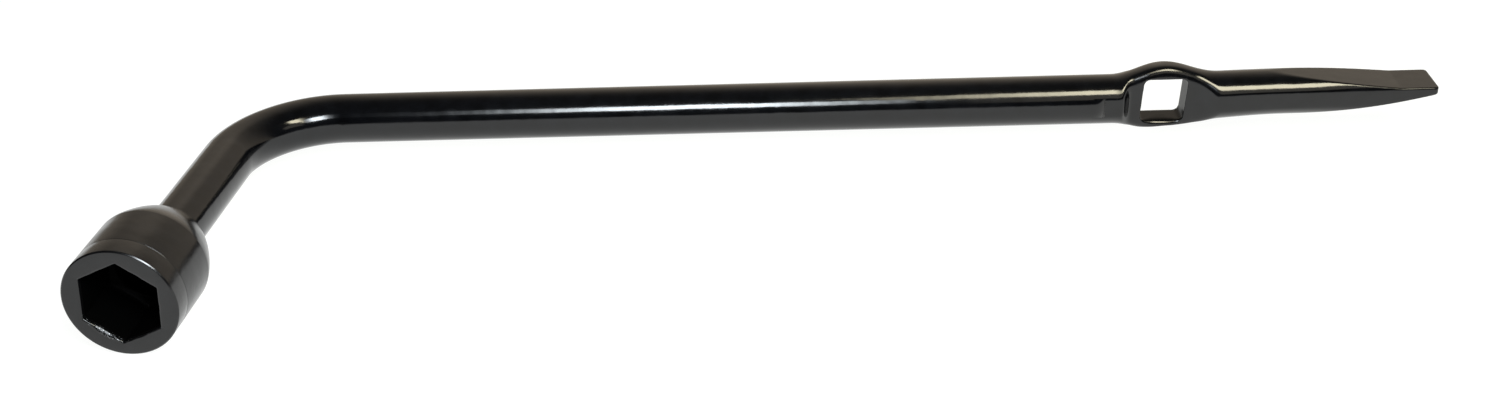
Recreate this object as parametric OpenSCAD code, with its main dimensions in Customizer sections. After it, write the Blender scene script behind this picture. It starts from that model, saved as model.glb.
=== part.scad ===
// L-shaped lug wrench: a hexagon socket welded onto a bent round bar, with a
// square jack-drive eye and a flat pry tip forged into the bar's far end.
// Millimetres. The origin is the centre of the socket's mouth. The mouth faces
// -Y, the handle runs towards +X, and +Z is square to the plane of the L.

/* [Socket] */
// Hexagon width across flats
hex_af = 19.3; // [17:0.1:22]
// Roll of the hexagon about the socket's axis
hex_roll = 5.7; // [0:0.1:30]
// Depth of the broached hexagon
hex_depth = 16.5; // [12:0.5:18]
// Diameter of the stud relief behind the hexagon
relief_d = 17; // [15:0.1:17]
// Depth of the stud relief, where the bar's end closes it
relief_depth = 24; // [20:0.5:26]
// Diameter of the socket body
socket_d = 29; // [27:0.1:33]
// Distance from the mouth to the fine line scribed round the body
scribe_at = 6; // [3:0.1:10]
// Distance from the mouth to the start of the domed shoulder
body_len = 20; // [18.5:0.5:22]
// Distance from the mouth to the end of the domed shoulder
shoulder_to = 32; // [30:0.5:33]
// Diameter at the end of the domed shoulder
shoulder_d = 18; // [17:0.1:20]
// Distance from the mouth to the neck's lip
socket_len = 33.5; // [33.2:0.1:40]
// Diameter of the neck's lip
neck_d = 16.5; // [16:0.1:17]

/* [Bar] */
// Diameter of the round bar
bar_d = 14; // [12:0.1:14.5]
// Distance from the mouth to the corner where the two bar axes cross
arm_len = 100; // [90:1:140]
// Angle between the arm and the handle
bend_angle = 94.7; // [90:0.1:110]
// Radius of the bend at the bar's axis
bend_r = 28; // [24:1:40]
// Length of the handle from the corner to the pry tip's end
handle_len = 333.5; // [325:0.5:345]
// Leg of the fillet weld at the neck
weld_leg = 1.2; // [1:0.1:2]

/* [Eye] */
// Distance from the corner to the middle of the eye
eye_at = 257.9; // [245:0.1:262]
// Height of the eye across its bulge
eye_h = 20; // [19:0.1:24]
// Thickness of the eye between its flat faces
eye_t = 7.5; // [6:0.1:11]
// Width of the square hole, along the handle
hole_w = 12.2; // [11:0.1:14]
// Height of the square hole
hole_h = 12.6; // [11:0.1:14]
// Corner radius of the square hole
hole_r = 1.7; // [1:0.1:3]
// Lean of the hole's sides towards the tip
hole_lean = 4; // [0:0.5:5]

/* [Pry tip] */
// Distance from the corner to the start of the wedge
wedge_at = 289; // [285:0.5:300]
// Length of the level blade at the wedge's end
blade_len = 10.5; // [8:0.5:18]
// Width of the blade at its end
tip_w = 13.2; // [12:0.1:14]
// Thickness of the blade at its end
tip_t = 2; // [1.5:0.1:3]
// Height of the blade's top face above the handle's axis
tip_top = 3.7; // [2.5:0.1:4.5]
// Corner radius of the blade in plan
tip_r = 1; // [0.5:0.1:2]

/* [Hidden] */
black = [0.07, 0.07, 0.075];
weld_black = [0.1, 0.1, 0.1];
$fn = 96;

over = 1; // how far a cutter passes the face that it cuts
mouth_chamfer = 0.4; // bevel on the mouth's outer edge
lead_in = 0.5; // depth of the cone that leads a nut into the hexagon
lead_in_r = 10.3; // radius of that cone on the mouth's face
scribe = 0.15; // depth of the scribed line, and half its width
shoulder_fullness = 1.25; // 1 for a straight cone, 2 for a quarter round
shoulder_steps = 6; // cones that make up the domed shoulder
relief_bevel = 1; // length of the cone from the hexagon to the relief
hex_r = hex_af / 2 / cos(30);

bar_r = bar_d / 2;
lean = bend_angle - 90; // how far the handle leans from the X axis
turn = 180 - bend_angle; // angle that the bar turns through at its bend
bend_cut = bend_r * tan(turn / 2); // from the corner to either end of the bend
bend_lap = 0.3; // degrees that the bend runs into the straight bar at either end
bend_d = bar_d - 0.04; // bending draws the bar very slightly thinner

forged_at = 238; // where the plain bar ends and the forged end begins
forged_r = bar_r - 0.03; // radius of the forged end where it leaves the plain bar
forged_step = 2; // spacing of the sections of the forged end
ring_n = 40; // points round one section
bulge_near = 14.5; // from the middle of the eye to the bulge's end, on the bend's side
bulge_far = 16; // the same, on the tip's side
bulge_lift = 0.5; // how far the eye's middle lies above the handle's axis
flat_from = eye_at - 8.6; // ends of the level part of each eye face
flat_to = eye_at + 8;
flat_r_near = 3; // radius of the run-out on the bend's side
flat_r_far = 8; // radius of the run-out on the tip's side
run_out_steps = 6; // flat strips along each run-out
corner_steps = 5; // flat strips round each corner of the hole
hole_lift = 0.65; // how far the hole's middle lies above the handle's axis
rim_roll = 0.8; // depth of the edge that the punch rolled over under the hole
rim_roll_r = 20; // radius of that rolled edge in the plane of the face
shank_h = 12.6; // height of the shank where the wedge starts
shank_rise = 1.05; // how far the shank's middle lies above the handle's axis
shank_to = 292; // where the shank has reached that height and rise
crown = 0.15; // how far the blade's faces fall from their middle to their edges
wedge_belly = 0.85; // how far the wedge's underside swells at its middle
blade_at = handle_len - blade_len;

function clamp01(v) = min(1, max(0, v));
function ease(a, b, x) = let (u = clamp01((x - a) / (b - a))) u * u * (3 - 2 * u);
function mix(a, b, u) = a + (b - a) * u;

// The bulge of the eye, from 0 on the plain bar to 1 at the middle of the eye
function bulge_half(x) = x < eye_at ? bulge_near : bulge_far;
function bulge(x) = (1 + cos(180 * min(1, abs(x - eye_at) / bulge_half(x)))) / 2;

// One section of the forged end: height of its middle, half its height, half its
// width, and the exponent of its outline, which is 2 for an ellipse
function middle(x) = bulge_lift * bulge(x) + shank_rise * ease(eye_at, shank_to, x);
function half_h(x) = mix(forged_r, shank_h / 2, ease(eye_at, shank_to, x))
    + (eye_h / 2 - forged_r) * bulge(x);
function half_w(x) = mix(forged_r, tip_w / 2, ease(shank_to, blade_at, x)) - nose_inset(x);
function nose_inset(x) =
    let (d = max(0, x - handle_len + tip_r)) tip_r - sqrt(max(0, tip_r * tip_r - d * d));
function squareness(x) = 2 + 0.5 * bulge(x) + 0.4 * ease(shank_to, blade_at, x);

// The wedge's top and underside, which flatten the sections beyond wedge_at
function wedge_top(x) = x < wedge_at ? 2 * bar_d
    : mix(shank_rise + shank_h / 2, tip_top, clamp01((x - wedge_at) / (blade_at - wedge_at)));
function wedge_under(x) = x < wedge_at ? -2 * bar_d
    : let (u = (x - wedge_at) / (handle_len - wedge_at))
        mix(shank_rise - shank_h / 2, tip_top - tip_t, u) - 4 * wedge_belly * u * (1 - u);

function signed_power(v, p) = sign(v) * pow(abs(v), p);
function section(x) = let (p = 2 / squareness(x)) [
    for (i = [0 : ring_n - 1]) let (
        a = 360 * (i + 0.5) / ring_n,
        across = signed_power(cos(a), p),
        z = middle(x) + half_h(x) * signed_power(sin(a), p),
        fall = crown * across * across
    ) [x, half_w(x) * across, min(wedge_top(x) - fall, max(wedge_under(x) + fall, z))]
];

// A solid through rings of equal point counts, closed by a flat cap at each end
module loft(rings) {
    n = len(rings[0]);
    last = len(rings) - 1;
    sides = [
        for (k = [0 : last - 1], i = [0 : n - 1]) let (j = (i + 1) % n)
            each [
                [k * n + i, (k + 1) * n + i, (k + 1) * n + j],
                [k * n + i, (k + 1) * n + j, k * n + j]
            ]
    ];
    near_cap = [for (i = [0 : n - 1]) i];
    far_cap = [for (i = [n - 1 : -1 : 0]) last * n + i];
    polyhedron([for (r = rings) each r], concat(sides, [near_cap, far_cap]));
}

// Places children, drawn along the handle from the corner, in the part's frame
module on_handle() {
    translate([0, arm_len, 0]) rotate([0, 0, lean]) children();
}

// Turns children drawn along +Z so that they run along the socket's axis, +Y
module on_socket_axis() {
    rotate([-90, 0, 0]) children();
}

// The domed shoulder as [radius, distance] points
function shoulder(p) = [
    for (k = [0 : shoulder_steps]) let (u = k / shoulder_steps) [
        mix(shoulder_d, socket_d, pow(1 - pow(u, p), 1 / p)) / 2,
        mix(body_len, shoulder_to, u)
    ]
];

module socket_body() {
    r = socket_d / 2;
    rotate_extrude() polygon(concat(
        [
            [0, 0],
            [r - mouth_chamfer, 0],
            [r, mouth_chamfer],
            [r, scribe_at - scribe],
            [r - scribe, scribe_at],
            [r, scribe_at + scribe]
        ],
        shoulder(shoulder_fullness),
        [[neck_d / 2, socket_len], [0, socket_len]]
    ));
}

module hexagon_pocket() {
    rotate(hex_roll - 90)
        translate([0, 0, -over]) cylinder(r = hex_r, h = hex_depth + over, $fn = 6);
    cylinder(r1 = lead_in_r, r2 = hex_af / 2, h = lead_in);
    translate([0, 0, hex_depth - 0.01])
        cylinder(r1 = hex_af / 2 - 0.2, r2 = relief_d / 2, h = relief_bevel);
}

module socket() {
    color(black) on_socket_axis() difference() {
        socket_body();
        hexagon_pocket();
        translate([0, 0, hex_depth]) cylinder(d = relief_d, h = relief_depth - hex_depth);
        translate([0, 0, relief_depth - over])
            cylinder(d = bar_d, h = socket_len - relief_depth + 2 * over);
    }
}

module arm() {
    on_socket_axis() translate([0, 0, relief_depth])
        cylinder(d = bar_d, h = arm_len - bend_cut - relief_depth);
}

module bend() {
    translate([bend_cut, -bend_r, 0]) rotate([0, 0, 90 - bend_lap])
        rotate_extrude(angle = turn + 2 * bend_lap) translate([bend_r, 0]) circle(d = bend_d);
}

module plain_handle() {
    translate([bend_cut, 0, 0]) rotate([0, 90, 0])
        cylinder(d = bar_d, h = forged_at + over - bend_cut);
}

module forged_blank() {
    even = ceil((handle_len - tip_r - forged_at) / forged_step);
    body = [for (k = [0 : even]) mix(forged_at, handle_len - tip_r, k / even)];
    nose = [for (a = [30 : 30 : 90]) handle_len - tip_r + tip_r * sin(a)];
    loft([for (x = concat(body, nose)) section(x)]);
}

// Points of an arc from one angle to another
function arc(centre, r, from, to, steps) = [
    for (k = [0 : steps]) let (a = mix(from, to, k / steps)) centre + r * [cos(a), sin(a)]
];

// What the flattening dies press away beyond one face of the eye
module face_cutter() {
    open = eye_t / 2;
    reach = open + 6;
    near = [flat_from, open + flat_r_near];
    far = [flat_to, open + flat_r_far];
    linear_extrude(4 * bar_d, center = true) polygon(concat(
        [[flat_from - flat_r_near, reach]],
        arc(near, flat_r_near, 180, 270, run_out_steps),
        arc(far, flat_r_far, 270, 320, run_out_steps),
        [[flat_to + flat_r_far, reach]]
    ));
}

module square_hole() {
    x = hole_w / 2 - hole_r;
    z = hole_h / 2 - hole_r;
    outline = concat(
        arc([x, z], hole_r, 0, 90, corner_steps),
        arc([-x, z], hole_r, 90, 180, corner_steps),
        arc([-x, -z], hole_r, 180, 270, corner_steps),
        arc([x, -z], hole_r, 270, 360, corner_steps)
    );
    translate([eye_at, 0, hole_lift]) rotate([90, 0, 0])
        linear_extrude(4 * bar_d, center = true)
            polygon([for (p = outline) [p[0] + p[1] * tan(hole_lean), p[1]]]);
}

// The edge that the punch rolled over, under the hole on the front face
module rolled_rim() {
    lowest = hole_lift - hole_h / 2 - rim_roll;
    translate([eye_at, -eye_t / 2 - over, lowest + rim_roll_r]) rotate([-90, 0, 0])
        cylinder(r1 = rim_roll_r + over, r2 = rim_roll_r - rim_roll, h = rim_roll + over);
}

module forged_end() {
    difference() {
        forged_blank();
        face_cutter();
        mirror([0, 1, 0]) face_cutter();
        square_hole();
        intersection() {
            rolled_rim();
            translate([eye_at, 0, -eye_h / 2]) cube([hole_w, bar_d, eye_h], center = true);
        }
    }
}

module handle_bar() {
    color(black) union() {
        arm();
        on_handle() {
            bend();
            plain_handle();
            forged_end();
        }
    }
}

module neck_weld() {
    color(weld_black) on_socket_axis() translate([0, 0, socket_len])
        rotate_extrude() polygon([
            [bar_r, 0],
            [bar_r + weld_leg, 0],
            [bar_r + 0.45 * weld_leg, 0.55 * weld_leg],
            [bar_r, 1.4 * weld_leg]
        ]);
}

socket();
handle_bar();
neck_weld();
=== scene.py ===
import math

import bpy
import numpy as np
from mathutils import Matrix, Vector


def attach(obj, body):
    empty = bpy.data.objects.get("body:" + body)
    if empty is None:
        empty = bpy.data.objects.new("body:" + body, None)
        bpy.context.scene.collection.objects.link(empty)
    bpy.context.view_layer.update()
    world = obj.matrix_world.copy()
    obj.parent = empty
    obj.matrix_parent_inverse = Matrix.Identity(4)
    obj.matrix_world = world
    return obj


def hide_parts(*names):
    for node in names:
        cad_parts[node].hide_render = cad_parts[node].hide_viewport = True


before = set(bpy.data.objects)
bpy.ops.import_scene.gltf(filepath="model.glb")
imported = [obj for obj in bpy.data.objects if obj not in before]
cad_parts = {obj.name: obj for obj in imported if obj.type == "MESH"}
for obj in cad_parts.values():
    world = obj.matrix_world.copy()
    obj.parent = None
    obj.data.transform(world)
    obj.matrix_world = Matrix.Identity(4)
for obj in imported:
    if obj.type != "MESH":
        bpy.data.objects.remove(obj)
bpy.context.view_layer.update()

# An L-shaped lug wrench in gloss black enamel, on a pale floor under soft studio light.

MM = 0.001

# Sizes in millimetres, as in the CAD model.
HEX_AF, HEX_ROLL, HEX_DEPTH = 19.3, 5.7, 16.5
RELIEF_R, RELIEF_DEPTH = 8.5, 24.0
SOCKET_R, MOUTH_CHAMFER, SCRIBE_AT, SCRIBE = 14.5, 0.35, 6.0, 0.08
BODY_LEN, SHOULDER_TO, SHOULDER_R, FULLNESS = 20.0, 32.0, 9.0, 1.25
SOCKET_LEN, NECK_R = 33.5, 8.25
HEX_CORNER, LEAD_IN_R, FACE_R = 0.5, 9.9, 13.4
WEAR_AT, WEAR_SPREAD = 214, 30
BAR_R, BEND_R = 7.0, 28.0
ARM_LEN, HANDLE_LEN, BEND_ANGLE = 100.0, 333.5, 94.7
LEAN = math.radians(BEND_ANGLE - 90)
TURN = math.radians(180 - BEND_ANGLE)
BEND_CUT = BEND_R * math.tan(TURN / 2)
FORGED_AT = 238.0

EYE_AT, EYE_H, EYE_T = 257.9, 20.0, 7.5
BULGE_NEAR, BULGE_FAR, BULGE_LIFT = 14.5, 16.0, 0.5
FLAT_FROM, FLAT_TO = EYE_AT - 8.6, EYE_AT + 8.0
HOLE_W, HOLE_H, HOLE_R = 12.2, 12.6, 1.7
HOLE_LEAN, HOLE_LIFT = math.radians(4), 0.65
SHANK_H, SHANK_RISE, SHANK_TO = 12.6, 1.05, 292.0
WEDGE_AT, BLADE_LEN, WEDGE_BELLY = 289.0, 10.5, 0.85
FLAT_EDGE, WEDGE_EDGE, UNDER_EDGE, TIP_EDGE, TIP_CORNER = 2.2, 0.25, 0.6, 0.35, 1.6
HOLE_EDGE, ROLLED_EDGE = 0.35, 2.2
TIP_W, TIP_T, TIP_TOP = 13.2, 2.0, 3.7
BLADE_AT = HANDLE_LEN - BLADE_LEN


# ---------------------------------------------------------------- mesh helpers

def make_object(name, points, faces):
    mesh = bpy.data.meshes.new(name)
    mesh.from_pydata((np.asarray(points) * MM).tolist(), [], faces)
    mesh.validate()
    mesh.update()
    mesh.shade_smooth()
    piece = bpy.data.objects.new(name, mesh)
    bpy.context.scene.collection.objects.link(piece)
    return piece


def join(parts):
    """Stacks meshes given as (points, faces) into one."""
    points, faces, start = [], [], 0
    for p, f in parts:
        points.append(np.asarray(p))
        faces += [[i + start for i in face] for face in f]
        start += len(p)
    return np.vstack(points), faces


def skin(rings, cap_start=False, cap_end=False):
    """Quads between rings of equal point counts, with a fan over either end."""
    n = len(rings[0])
    points = np.vstack(rings)
    faces = []
    for k in range(len(rings) - 1):
        for i in range(n):
            j = (i + 1) % n
            faces.append([k * n + i, k * n + j, (k + 1) * n + j, (k + 1) * n + i])
    for cap, ring, flip in ((cap_start, 0, True), (cap_end, len(rings) - 1, False)):
        if not cap:
            continue
        centre = len(points)
        points = np.vstack([points, np.mean(rings[ring], axis=0)])
        for i in range(n):
            a, b = ring * n + i, ring * n + (i + 1) % n
            faces.append([b, a, centre] if flip else [a, b, centre])
    return points, faces


def rounded(corners, steps=5):
    """A polyline through (distance, radius, fillet) corners, with its corners rounded."""
    out = []
    for k, (s, r, fillet) in enumerate(corners):
        p = np.array([s, r], float)
        if k in (0, len(corners) - 1) or fillet == 0:
            out.append(p)
            continue
        a = np.array(corners[k - 1][:2], float) - p
        b = np.array(corners[k + 1][:2], float) - p
        la, lb = np.linalg.norm(a), np.linalg.norm(b)
        a, b = a / la, b / lb
        half = math.acos(max(-1, min(1, float(a @ b)))) / 2
        cut = min(fillet / math.tan(half), 0.48 * la, 0.48 * lb)
        for t in np.linspace(0, 1, steps):
            out.append(p + cut * ((1 - t) ** 2 * a + t ** 2 * b))
    return out


def ease(a, b, x):
    u = np.clip((x - a) / (b - a), 0, 1)
    return u * u * (3 - 2 * u)


def mix(a, b, u):
    return a + (b - a) * u


def axis_ring(s, r, n):
    """A circle round the socket's axis, at distance s behind the mouth."""
    a = 2 * math.pi * np.arange(n) / n
    r = np.broadcast_to(r, a.shape)
    s = np.broadcast_to(s, a.shape)
    return np.stack([r * np.sin(a), s, r * np.cos(a)], axis=1)


def from_handle(p):
    """Points in the handle's frame, whose X axis is the handle, to the part's frame."""
    p = np.asarray(p, float)
    c, s = math.cos(LEAN), math.sin(LEAN)
    return np.stack([
        p[:, 0] * c - p[:, 1] * s,
        ARM_LEN + p[:, 0] * s + p[:, 1] * c,
        p[:, 2],
    ], axis=1)


# ---------------------------------------------------------------- the socket

def hexagon_radius(angle, corner):
    """Distance from the axis to the hexagon's wall, whose corners have a small radius."""
    apothem = HEX_AF / 2
    a = (angle - math.radians(HEX_ROLL) + math.pi / 6) % (math.pi / 3) - math.pi / 6
    flat = apothem / np.cos(math.pi / 6 - np.abs(a))
    centre = (apothem - corner) / math.cos(math.pi / 6)
    inside = np.maximum(corner ** 2 - (centre * np.sin(a)) ** 2, 0)
    arc = centre * np.cos(a) + np.sqrt(inside)
    on_arc = np.abs(a) < math.asin(min(1, corner * 0.5 / (centre + corner * 0.866)))
    return np.where(on_arc, arc, np.minimum(flat, centre + corner))


def bell(x, centre, width):
    return np.exp(-((x - centre) / width) ** 2)


def socket_mesh():
    n = 432
    angle = 2 * math.pi * np.arange(n) / n
    hex_r = hexagon_radius(angle, HEX_CORNER)
    shoulder = []
    for u in np.linspace(1, 0, 15):
        swell = (1 - u ** FULLNESS) ** (1 / FULLNESS)
        shoulder.append((mix(BODY_LEN, SHOULDER_TO, u), mix(SHOULDER_R, SOCKET_R, swell), 0.1))
    outside = rounded([
        (SOCKET_LEN, NECK_R - 1.1, 0),
        (SOCKET_LEN, NECK_R, 0.5),
        *shoulder,
        (SCRIBE_AT + SCRIBE, SOCKET_R, 0.1),
        (SCRIBE_AT, SOCKET_R - SCRIBE, 0.1),
        (SCRIBE_AT - SCRIBE, SOCKET_R, 0.1),
        (MOUTH_CHAMFER, SOCKET_R, 0.25),
        (0, SOCKET_R - MOUTH_CHAMFER, 0.2),
        (0, FACE_R, 0),
    ])
    rings = [axis_ring(s, r, n) for s, r in outside]

    # The nut's lead-in, which wear has opened out on the lower left.
    wear = bell(np.degrees(angle), WEAR_AT, WEAR_SPREAD)
    edge = np.maximum(hex_r + 0.12, LEAD_IN_R + 0.4 * wear)
    depth = 0.12 + 0.6 * (edge - hex_r) + 0.2 * wear
    for out, down in ((0.3, 0.0), (0.15, 0.03), (0.05, 0.1)):
        rings.append(axis_ring(down, edge + out, n))
    for t in (0.12, 0.4, 0.7, 0.92):
        rings.append(axis_ring(0.1 + (depth - 0.1) * t, edge + (hex_r - edge) * t, n))
    rings.append(axis_ring(depth + 0.15, hex_r, n))
    for y in np.linspace(3.0, HEX_DEPTH, 8):
        rings.append(axis_ring(y, hex_r, n))
    for t in (0.15, 0.85, 1.0):
        rings.append(axis_ring(HEX_DEPTH + t, hex_r + (RELIEF_R - hex_r) * t, n))
    rings.append(axis_ring(RELIEF_DEPTH - 0.5, RELIEF_R, n))
    rings.append(axis_ring(RELIEF_DEPTH - 0.05, RELIEF_R - 0.4, n))
    rings.append(axis_ring(RELIEF_DEPTH, BAR_R - 0.4, n))
    return skin(rings)


def weld_mesh():
    """A fillet bead round the neck, with the ripples of its passes."""
    n, steps = 288, 9
    angle = 2 * math.pi * np.arange(n) / n
    ripple = 0.035 * np.sin(46 * angle + 0.8 * np.sin(5 * angle)) + 0.05 * np.sin(3 * angle + 1)
    rings = []
    for k in range(steps):
        t = k / (steps - 1)
        swell = math.sin(math.pi * t)
        leg_r = 1.1 * (1 - t) ** 1.4
        leg_s = 1.5 * t ** 1.3
        r = BAR_R - 0.05 + leg_r + ripple * swell
        s = SOCKET_LEN - 0.05 + leg_s + 0.6 * ripple * swell
        rings.append(axis_ring(s, r, n))
    return skin(rings[::-1])


# ---------------------------------------------------------------- the bar

def tube_mesh():
    """The arm, the bend and the plain handle, up to where the forged end begins."""
    n = 144
    a = 2 * math.pi * np.arange(n) / n

    def ring(centre, side, r):
        side, up = np.array([side[0], side[1], 0.0]), np.array([0.0, 0.0, 1.0])
        spread = np.cos(a)[:, None] * side + np.sin(a)[:, None] * up
        return np.array([centre[0], centre[1], 0.0]) + r * spread

    rings = []
    arm_end = ARM_LEN - BEND_CUT
    for inset, past in ((0.5, 0.0), (0.15, 0.1), (0.0, 0.5)):
        rings.append(ring((0, RELIEF_DEPTH + past), (1, 0), BAR_R - inset))
    for y in np.linspace(RELIEF_DEPTH + 2, arm_end, 24)[:-1]:
        rings.append(ring((0, y), (1, 0), BAR_R))
    for t in np.linspace(0, TURN, 60):
        out = (-math.cos(t), math.sin(t))
        centre = (BEND_R + BEND_R * out[0], arm_end + BEND_R * out[1])
        rings.append(ring(centre, (-out[0], -out[1]), BAR_R))
    along, side = (math.cos(LEAN), math.sin(LEAN)), (math.sin(LEAN), -math.cos(LEAN))
    stations = [(x, BAR_R) for x in np.linspace(BEND_CUT, FORGED_AT - 0.9, 90)[1:]]
    # The last rings dip just under the forged end's surface, so that the two don't flicker.
    for past, inset in ((-0.5, 0.004), (-0.2, 0.015), (3, 0.015)):
        stations.append((FORGED_AT + past, BAR_R - inset))
    for x, r in stations:
        rings.append(ring((x * along[0], ARM_LEN + x * along[1]), side, r))
    return skin(rings, cap_start=True, cap_end=True)


def smooth_max(a, b, k):
    """The larger of two fields, blended over a band of width k, which rounds the edge."""
    h = np.maximum(k - np.abs(a - b), 0) / k
    return np.maximum(a, b) + h * h * k / 4


def forged_field(p):
    """Below zero inside the forged end, above zero outside, in the handle's frame."""
    x, y, z = p[:, 0], p[:, 1], p[:, 2]
    half = np.where(x < EYE_AT, BULGE_NEAR, BULGE_FAR)
    bulge = (1 + np.cos(math.pi * np.minimum(1, np.abs(x - EYE_AT) / half))) / 2
    shank = ease(EYE_AT, SHANK_TO, x)
    blade = ease(SHANK_TO, BLADE_AT, x)
    middle = BULGE_LIFT * bulge + SHANK_RISE * shank
    half_h = mix(BAR_R, SHANK_H / 2, shank) + (EYE_H / 2 - BAR_R) * bulge
    half_w = mix(BAR_R, TIP_W / 2 + 0.05, blade)
    power = 2 + 0.5 * bulge + 0.4 * blade
    q = (np.abs(y) / half_w) ** power + (np.abs(z - middle) / half_h) ** power
    body = (np.maximum(q, 1e-9) ** (1 / power) - 1) * np.minimum(half_w, half_h)

    near, far = np.maximum(FLAT_FROM - x, 0), np.maximum(x - FLAT_TO, 0)
    face = EYE_T / 2 + 0.34 * near ** 2 + 0.085 * far ** 2
    f = smooth_max(body, np.abs(y) - face, FLAT_EDGE)

    slope = (SHANK_RISE + SHANK_H / 2 - TIP_TOP) / (BLADE_AT - WEDGE_AT)
    top = TIP_TOP + slope * np.maximum(BLADE_AT - x, 0)
    u = (x - WEDGE_AT) / (HANDLE_LEN - WEDGE_AT)
    root = SHANK_RISE - SHANK_H / 2
    under = np.where(
        u > 0,
        mix(root, TIP_TOP - TIP_T, u) - 4 * WEDGE_BELLY * u * (1 - u),
        root + (TIP_TOP - TIP_T - root - 4 * WEDGE_BELLY) * u,
    )
    f = smooth_max(f, z - top, WEDGE_EDGE)
    f = smooth_max(f, under - z, UNDER_EDGE)
    end = smooth_max(np.abs(y) - TIP_W / 2, x - HANDLE_LEN, TIP_CORNER)
    f = smooth_max(f, end, TIP_EDGE)

    hx = x - EYE_AT - (z - HOLE_LIFT) * math.tan(HOLE_LEAN)
    hz = z - HOLE_LIFT
    qx, qz = np.abs(hx) - HOLE_W / 2 + HOLE_R, np.abs(hz) - HOLE_H / 2 + HOLE_R
    outside = np.hypot(np.maximum(qx, 0), np.maximum(qz, 0))
    hole = outside + np.minimum(np.maximum(qx, qz), 0) - HOLE_R
    under_hole = np.clip(1 - (hx / 5.6) ** 2, 0, 1) * (hz < 0) * (y < 0)
    rim = HOLE_EDGE + ROLLED_EDGE * under_hole
    return smooth_max(f, -hole, rim)


def field_gradient(f, p, step=0.02):
    g = np.empty_like(p)
    for axis in range(3):
        d = np.zeros(3)
        d[axis] = step
        g[:, axis] = (f(p + d) - f(p - d)) / (2 * step)
    return g


def surface_net(f, low, high, step):
    """A quad mesh of the surface where f is zero, one vertex to each cell that it crosses."""
    axes = [np.arange(a, b, step) for a, b in zip(low, high)]
    shape = tuple(len(a) for a in axes)
    grid = np.stack(np.meshgrid(*axes, indexing="ij"), axis=-1).reshape(-1, 3)
    value = np.concatenate([f(chunk) for chunk in np.array_split(grid, 24)]).reshape(shape)
    inside = value < 0
    cells = tuple(n - 1 for n in shape)
    total = np.zeros(cells + (3,))
    count = np.zeros(cells)
    offsets = [(i, j, k) for i in (0, 1) for j in (0, 1) for k in (0, 1)]

    def corner(o):
        return tuple(slice(o[m], o[m] + cells[m]) for m in range(3))

    for a in offsets:
        for axis in range(3):
            if a[axis]:
                continue
            b = tuple(1 if m == axis else a[m] for m in range(3))
            va, vb = value[corner(a)], value[corner(b)]
            cross = (va < 0) != (vb < 0)
            t = np.where(cross, va / np.where(cross, va - vb, 1), 0)
            for m in range(3):
                where = a[m] + (t if m == axis else 0)
                total[..., m] += np.where(cross, where, 0)
            count += cross
    used = count > 0
    number = np.full(cells, -1)
    number[used] = np.arange(used.sum())
    index = np.argwhere(used)
    points = np.array(low) + step * (index + total[used] / count[used][:, None])

    faces = []
    for axis in range(3):
        u, v = (axis + 1) % 3, (axis + 2) % 3
        first = [slice(1, -1)] * 3
        first[axis] = slice(0, cells[axis])
        second = list(first)
        second[axis] = slice(1, cells[axis] + 1)
        a, b = inside[tuple(first)], inside[tuple(second)]
        base = np.argwhere(a != b)
        leaving = a[a != b]
        base[:, u] += 1
        base[:, v] += 1

        def at(du, dv):
            q = base.copy()
            q[:, u] += du
            q[:, v] += dv
            return number[tuple(q.T)]

        quads = np.stack([at(-1, -1), at(0, -1), at(0, 0), at(-1, 0)], axis=1)
        quads[~leaving] = quads[~leaving][:, ::-1]
        faces += quads.tolist()
    return points, faces


def forged_mesh():
    step = 0.36
    low = (FORGED_AT - 0.4, -8.2, -11.2)
    high = (HANDLE_LEN + 0.8, 8.2, 12.2)
    points, faces = surface_net(forged_field, low, high, step)
    for _ in range(5):
        value = forged_field(points)
        g = field_gradient(forged_field, points)
        size = np.maximum((g ** 2).sum(axis=1), 1e-6)
        move = (value / size)[:, None] * g
        length = np.linalg.norm(move, axis=1)[:, None]
        points = points - move * np.minimum(1, 0.5 * step / np.maximum(length, 1e-9))
    return from_handle(points), faces


# ---------------------------------------------------------------- materials

# The first colour is painted shade, the near-black laid inside the socket's pocket and the eye's hole; the
# second is steel bared by chipped paint.
PAINTED_SHADE_BLACK, BARE_STEEL = (0.0006, 0.0006, 0.0006), (0.55, 0.55, 0.57)
WARM_BLACK, COOL_BLACK = (0.003, 0.003, 0.0033), (0.0015, 0.0017, 0.0023)


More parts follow.
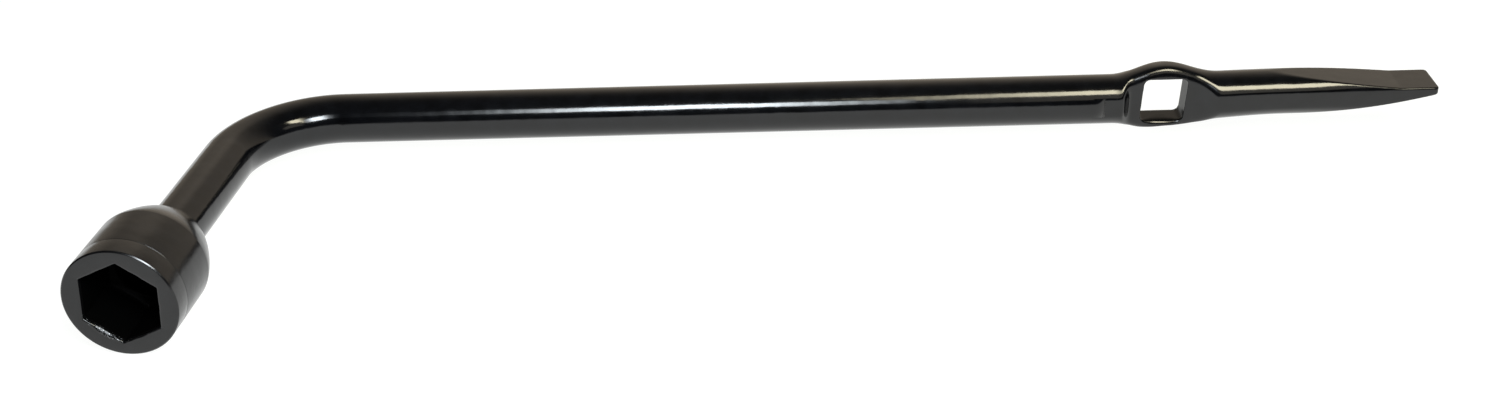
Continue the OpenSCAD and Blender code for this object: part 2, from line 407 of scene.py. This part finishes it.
def enamel(name, seed, tint, roughness, peel):
    """Gloss black enamel with a faint orange peel, with painted shade inside the socket's pocket and the
    eye's hole, which are turned near-black, dull and barely reflective.
    """
    material = bpy.data.materials.new(name)
    material.use_nodes = True
    nodes, links = material.node_tree.nodes, material.node_tree.links
    nodes.clear()
    out = nodes.new("ShaderNodeOutputMaterial")
    paint = nodes.new("ShaderNodeBsdfPrincipled")
    links.new(paint.outputs["BSDF"], out.inputs["Surface"])
    paint.inputs["IOR"].default_value = 1.5

    where = nodes.new("ShaderNodeTexCoord")
    shift = nodes.new("ShaderNodeMapping")
    shift.inputs["Location"].default_value = (seed * 0.137, seed * 0.071, seed * 0.193)
    links.new(where.outputs["Object"], shift.inputs["Vector"])

    def noise(scale, detail=2.0):
        node = nodes.new("ShaderNodeTexNoise")
        node.inputs["Scale"].default_value = scale
        node.inputs["Detail"].default_value = detail
        links.new(shift.outputs["Vector"], node.inputs["Vector"])
        return node.outputs["Fac"]

    def spread(source, low, high, a, b):
        node = nodes.new("ShaderNodeMapRange")
        for socket_name, value in (("From Min", low), ("From Max", high), ("To Min", a), ("To Max", b)):
            node.inputs[socket_name].default_value = value
        links.new(source, node.inputs["Value"])
        return node.outputs["Result"]

    def combine(operation, a, b=0.0):
        node = nodes.new("ShaderNodeMath")
        node.operation = operation
        for slot, value in zip(node.inputs, (a, b)):
            if isinstance(value, (int, float)):
                slot.default_value = value
            else:
                links.new(value, slot)
        return node.outputs["Value"]

    def times(*factors):
        result = factors[0]
        for factor in factors[1:]:
            result = combine("MULTIPLY", result, factor)
        return result

    def colour_mix(factor, a, b):
        node = nodes.new("ShaderNodeMix")
        node.data_type = "RGBA"
        links.new(factor, node.inputs["Factor"])
        for slot, value in ((node.inputs["A"], a), (node.inputs["B"], b)):
            if isinstance(value, tuple):
                slot.default_value = value + (1,)
            else:
                links.new(value, slot)
        return node.outputs["Result"]

    # Masks from the object's own coordinates, in metres: inside the pocket and inside the eye's hole,
    # where shade is painted, and on the worn lower left of the mouth.
    split = nodes.new("ShaderNodeSeparateXYZ")
    links.new(where.outputs["Object"], split.inputs["Vector"])
    x, y, z = (split.outputs[axis] for axis in "XYZ")
    radius = combine("SQRT", combine("ADD", times(x, x), times(z, z)))
    within = spread(radius, 0.0113, 0.0116, 1, 0)
    deep = times(spread(y, 0.0003, 0.0016, 0, 1), spread(y, 0.0246, 0.0250, 1, 0))
    pocket = times(within, deep)
    beyond = combine("SUBTRACT", y, ARM_LEN * MM)
    along = combine("ADD", times(x, math.cos(LEAN)), times(beyond, math.sin(LEAN)))
    across = combine("SUBTRACT", times(beyond, math.cos(LEAN)), times(x, math.sin(LEAN)))
    hole = times(
        spread(combine("ABSOLUTE", combine("SUBTRACT", along, EYE_AT * MM)), 0.0072, 0.0076, 1, 0),
        spread(combine("ABSOLUTE", combine("SUBTRACT", z, HOLE_LIFT * MM)), 0.0066, 0.0069, 1, 0),
        spread(combine("ABSOLUTE", across), 0.0031, 0.0036, 1, 0),
    )
    towards = combine("ADD", times(x, -0.53), times(z, -0.848))
    worn = times(
        spread(towards, 0.0080, 0.0095, 0, 1),
        spread(radius, 0.0107, 0.0110, 1, 0),
        spread(y, 0.0008, 0.0012, 1, 0),
    )
    chips = spread(noise(2300.0, 3.0), 0.6, 0.67, 0, 1)
    bare = times(worn, chips, 0.35)
    # Painted shade: the pocket, and the eye's hole at three quarters strength, are made near-black, dull
    # and almost unreflective below, standing in for the shade that falls inside them.
    painted_shade = combine("MAXIMUM", pocket, times(hole, 0.75))

    cloud = noise(260.0, 5.0)
    thin, thick = tuple(1.6 * c for c in tint), tuple(0.6 * c for c in tint)
    film = colour_mix(spread(cloud, 0.35, 0.7, 0, 1), thick, thin)
    # Here the painted shade's near-black replaces the enamel film.
    shaded_film = colour_mix(painted_shade, film, PAINTED_SHADE_BLACK)
    links.new(colour_mix(bare, shaded_film, BARE_STEEL), paint.inputs["Base Color"])
    links.new(bare, paint.inputs["Metallic"])
    links.new(spread(painted_shade, 0, 1, 0.5, 0.04), paint.inputs["Specular IOR Level"])
    gloss = spread(noise(140.0, 3.0), 0.3, 0.7, roughness * 0.8, roughness * 1.3)
    links.new(combine("MAXIMUM", gloss, times(painted_shade, 0.5)), paint.inputs["Roughness"])

    bumps = None
    for source, distance in (
        (noise(190.0, 1.0), 0.00006 * peel),
        (noise(900.0), 0.00001 * peel),
        (times(worn, noise(1100.0)), 0.0001),
    ):
        bump = nodes.new("ShaderNodeBump")
        bump.inputs["Strength"].default_value = 1.0
        bump.inputs["Distance"].default_value = distance
        links.new(source, bump.inputs["Height"])
        if bumps is not None:
            links.new(bumps.outputs["Normal"], bump.inputs["Normal"])
        bumps = bump
    links.new(bumps.outputs["Normal"], paint.inputs["Normal"])
    return material


def finish_piece(piece, node, material):
    piece.data.materials.append(material)
    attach(piece, "root")
    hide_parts(node)


socket = make_object("socket_shell", *socket_mesh())
bar = make_object("bent_bar", *join([tube_mesh(), forged_mesh()]))
weld = make_object("neck_bead", *weld_mesh())

finish_piece(socket, "socket", enamel("socket_enamel", 1, WARM_BLACK, 0.2, 1.8))
finish_piece(bar, "handle_bar", enamel("bar_enamel", 2, COOL_BLACK, 0.12, 1.0))
finish_piece(weld, "neck_weld", enamel("weld_enamel", 3, WARM_BLACK, 0.22, 1.4))


# ---------------------------------------------------------------- the studio

def ramp_node(nodes, stops):
    """A colour ramp through (place, colour) stops, with places from 0 to 1."""
    node = nodes.new("ShaderNodeValToRGB")
    elements = node.color_ramp.elements
    for k, (place, colour) in enumerate(stops):
        element = elements[k] if k < 2 else elements.new(place)
        element.position = place
        element.color = tuple(colour) + (1,)
    return node


def flat_panel(name, corners, material):
    mesh = bpy.data.meshes.new(name)
    mesh.from_pydata(corners, [], [[0, 1, 2, 3]])
    mesh.materials.append(material)
    panel = bpy.data.objects.new(name, mesh)
    bpy.context.scene.collection.objects.link(panel)
    return panel


def pale_floor():
    """A sweep of dark grey paper under the object that glows by itself, so that it reads pale and hides
    the object's shadow; its glow falls off towards the front.
    """
    size, front, drop = 3.0, -1.05, -SOCKET_R * MM - 0.0002
    material = bpy.data.materials.new("floor")
    material.use_nodes = True
    nodes, links = material.node_tree.nodes, material.node_tree.links
    paper = nodes["Principled BSDF"]
    paper.inputs["Base Color"].default_value = (0.13, 0.13, 0.13, 1)
    paper.inputs["Roughness"].default_value = 0.9
    # The paper's own glow is painted light: it keeps the floor white and washes out the object's shadow.
    paper.inputs["Emission Color"].default_value = (0.99, 1.0, 0.99, 1)
    coord = nodes.new("ShaderNodeTexCoord")
    split = nodes.new("ShaderNodeSeparateXYZ")
    links.new(coord.outputs["Object"], split.inputs["Vector"])
    fade = nodes.new("ShaderNodeMapRange")
    for field, value in (("From Min", -0.3), ("From Max", -0.06), ("To Min", 0.45), ("To Max", 0.96)):
        fade.inputs[field].default_value = value
    links.new(split.outputs["Y"], fade.inputs["Value"])
    links.new(fade.outputs["Result"], paper.inputs["Emission Strength"])
    outline = ((-size, front), (size, front), (size, size), (-size, size))
    flat_panel("floor", [(x, y, drop) for x, y in outline], material)


# Reflections turn warm past this angle above the front horizon, over this many degrees.
WARM_FROM, WARM_OVER = 80, 50


def studio_sky():
    """Pale behind the object, dim overhead and in front, so that gloss paint shows its form."""
    world = bpy.data.worlds.new("studio")
    bpy.context.scene.world = world
    world.use_nodes = True
    nodes, links = world.node_tree.nodes, world.node_tree.links
    coord = nodes.new("ShaderNodeTexCoord")
    split = nodes.new("ShaderNodeSeparateXYZ")
    links.new(coord.outputs["Generated"], split.inputs["Vector"])
    ahead = nodes.new("ShaderNodeMath")
    ahead.operation = "MULTIPLY"
    ahead.inputs[1].default_value = -1.0
    links.new(split.outputs["Y"], ahead.inputs[0])
    angle = nodes.new("ShaderNodeMath")
    angle.operation = "ARCTAN2"
    links.new(split.outputs["Z"], angle.inputs[0])
    links.new(ahead.outputs["Value"], angle.inputs[1])
    turn = nodes.new("ShaderNodeMapRange")
    turn.inputs["From Min"].default_value = -math.pi
    turn.inputs["From Max"].default_value = math.pi
    links.new(angle.outputs["Value"], turn.inputs["Value"])
    sky = (
        (-180, 0.9), (-30, 0.9), (-14, 0.85), (-6, 0.02), (20, 0.02), (50, 0.05),
        (84, 0.07), (97, 0.09), (109, 0.16), (122, 0.38), (136, 0.66), (155, 0.9), (180, 0.95),
    )
    stops = []
    for degrees, level in sky:
        warm = min(1, max(0, (degrees - WARM_FROM) / WARM_OVER))
        tint = (level, level * (1 - 0.13 * warm), level * (1 - 0.29 * warm))
        stops.append((degrees / 360 + 0.5, tint))
    ramp = ramp_node(nodes, stops)
    links.new(turn.outputs["Result"], ramp.inputs["Fac"])
    links.new(ramp.outputs["Color"], nodes["Background"].inputs["Color"])

    # The sky is brightest straight ahead and behind, and falls off to either side.
    aside = nodes.new("ShaderNodeMapRange")
    aside.inputs["From Min"].default_value = -1.0
    aside.inputs["From Max"].default_value = 1.0
    links.new(split.outputs["X"], aside.inputs["Value"])
    sides = ((-1.0, 0.4), (-0.45, 0.45), (-0.3, 0.68), (-0.08, 1.0), (0.04, 1.0), (0.2, 0.73), (0.5, 0.63))
    dimmer = ramp_node(nodes, [((x + 1) / 2, (level, level, level)) for x, level in sides])
    links.new(aside.outputs["Result"], dimmer.inputs["Fac"])
    links.new(dimmer.outputs["Color"], nodes["Background"].inputs["Strength"])


# The panels face the handle, at this depth, a little to the left of their own middle.
HANDLE_Y, FACING_LEFT = 0.11, 0.12


def soft_box(name, start, end, height, tint, profile):
    """A glowing strip from start to end, seen only by reflection and as light.

    Its radiance along the strip follows (fraction of the length, radiance) stops.
    """
    start, end = Vector(start), Vector(end)
    middle = (start + end) / 2
    facing = Vector((middle.x - FACING_LEFT, HANDLE_Y, 0.0)) - middle
    half = facing.cross(end - start).normalized() * (height / 2)
    brightest = max(radiance for _, radiance in profile)

    material = bpy.data.materials.new(name)
    material.use_nodes = True
    nodes, links = material.node_tree.nodes, material.node_tree.links
    nodes.clear()
    out = nodes.new("ShaderNodeOutputMaterial")
    glow = nodes.new("ShaderNodeEmission")
    glow.inputs["Strength"].default_value = brightest
    links.new(glow.outputs["Emission"], out.inputs["Surface"])
    coord = nodes.new("ShaderNodeTexCoord")
    split = nodes.new("ShaderNodeSeparateXYZ")
    links.new(coord.outputs["Object"], split.inputs["Vector"])
    place = nodes.new("ShaderNodeMapRange")
    place.inputs["From Min"].default_value = start.x
    place.inputs["From Max"].default_value = end.x
    links.new(split.outputs["X"], place.inputs["Value"])
    stops = [(t, [c * radiance / brightest for c in tint]) for t, radiance in profile]
    ramp = ramp_node(nodes, stops)
    links.new(place.outputs["Result"], ramp.inputs["Fac"])
    links.new(ramp.outputs["Color"], glow.inputs["Color"])

    corners = [tuple(v) for v in (start - half, end - half, end + half, start + half)]
    panel = flat_panel(name, corners, material)
    panel.visible_camera = False


CAMERA_AT = Vector((0.1924, -0.3510, 0.2217))
CAMERA_RIGHT, CAMERA_UP = Vector((0.9949, 0.0943, -0.0345)), Vector((-0.0150, 0.4796, 0.8773))
CAMERA_LENS, CAMERA_SENSOR = 43.35, 36


def camera():
    """In front of the wrench and above it, looking down at about 29 degrees."""
    back = CAMERA_RIGHT.cross(CAMERA_UP).normalized()
    up = back.cross(CAMERA_RIGHT).normalized()
    right = CAMERA_RIGHT.normalized()
    data = bpy.data.cameras.new("camera")
    data.lens, data.sensor_width = CAMERA_LENS, CAMERA_SENSOR
    eye = bpy.data.objects.new("camera", data)
    columns = Matrix((right, up, back)).transposed().to_4x4()
    eye.matrix_world = Matrix.Translation(CAMERA_AT) @ columns
    bpy.context.scene.collection.objects.link(eye)
    bpy.context.scene.camera = eye


pale_floor()
studio_sky()
soft_box("window", (-0.03, -0.14, 0.177), (0.23, -0.14, 0.187), 0.09, (0.88, 0.95, 1.0), (
    (0.0, 0.0), (0.17, 0.4), (0.25, 2), (0.33, 7), (0.42, 22), (0.52, 36), (0.65, 36),
    (0.74, 28), (0.82, 14), (0.9, 7), (0.97, 3.5), (1.0, 0.0),
))
soft_box("lamp", (0.23, -0.14, 0.235), (0.64, -0.14, 0.6), 0.165, (1.0, 0.93, 0.7), (
    (0.0, 4), (0.06, 8), (0.12, 11), (0.17, 15), (0.25, 18.5), (0.66, 18.5), (0.78, 10), (1.0, 5),
))
soft_box("lamp_spill", (0.25, -0.14, 0.15), (0.75, -0.14, 0.3), 0.13, (1.0, 0.93, 0.8), (
    (0.0, 0.3), (0.1, 0.8), (1.0, 0.9),
))
camera()
bpy.context.scene.view_settings.view_transform = "Standard"
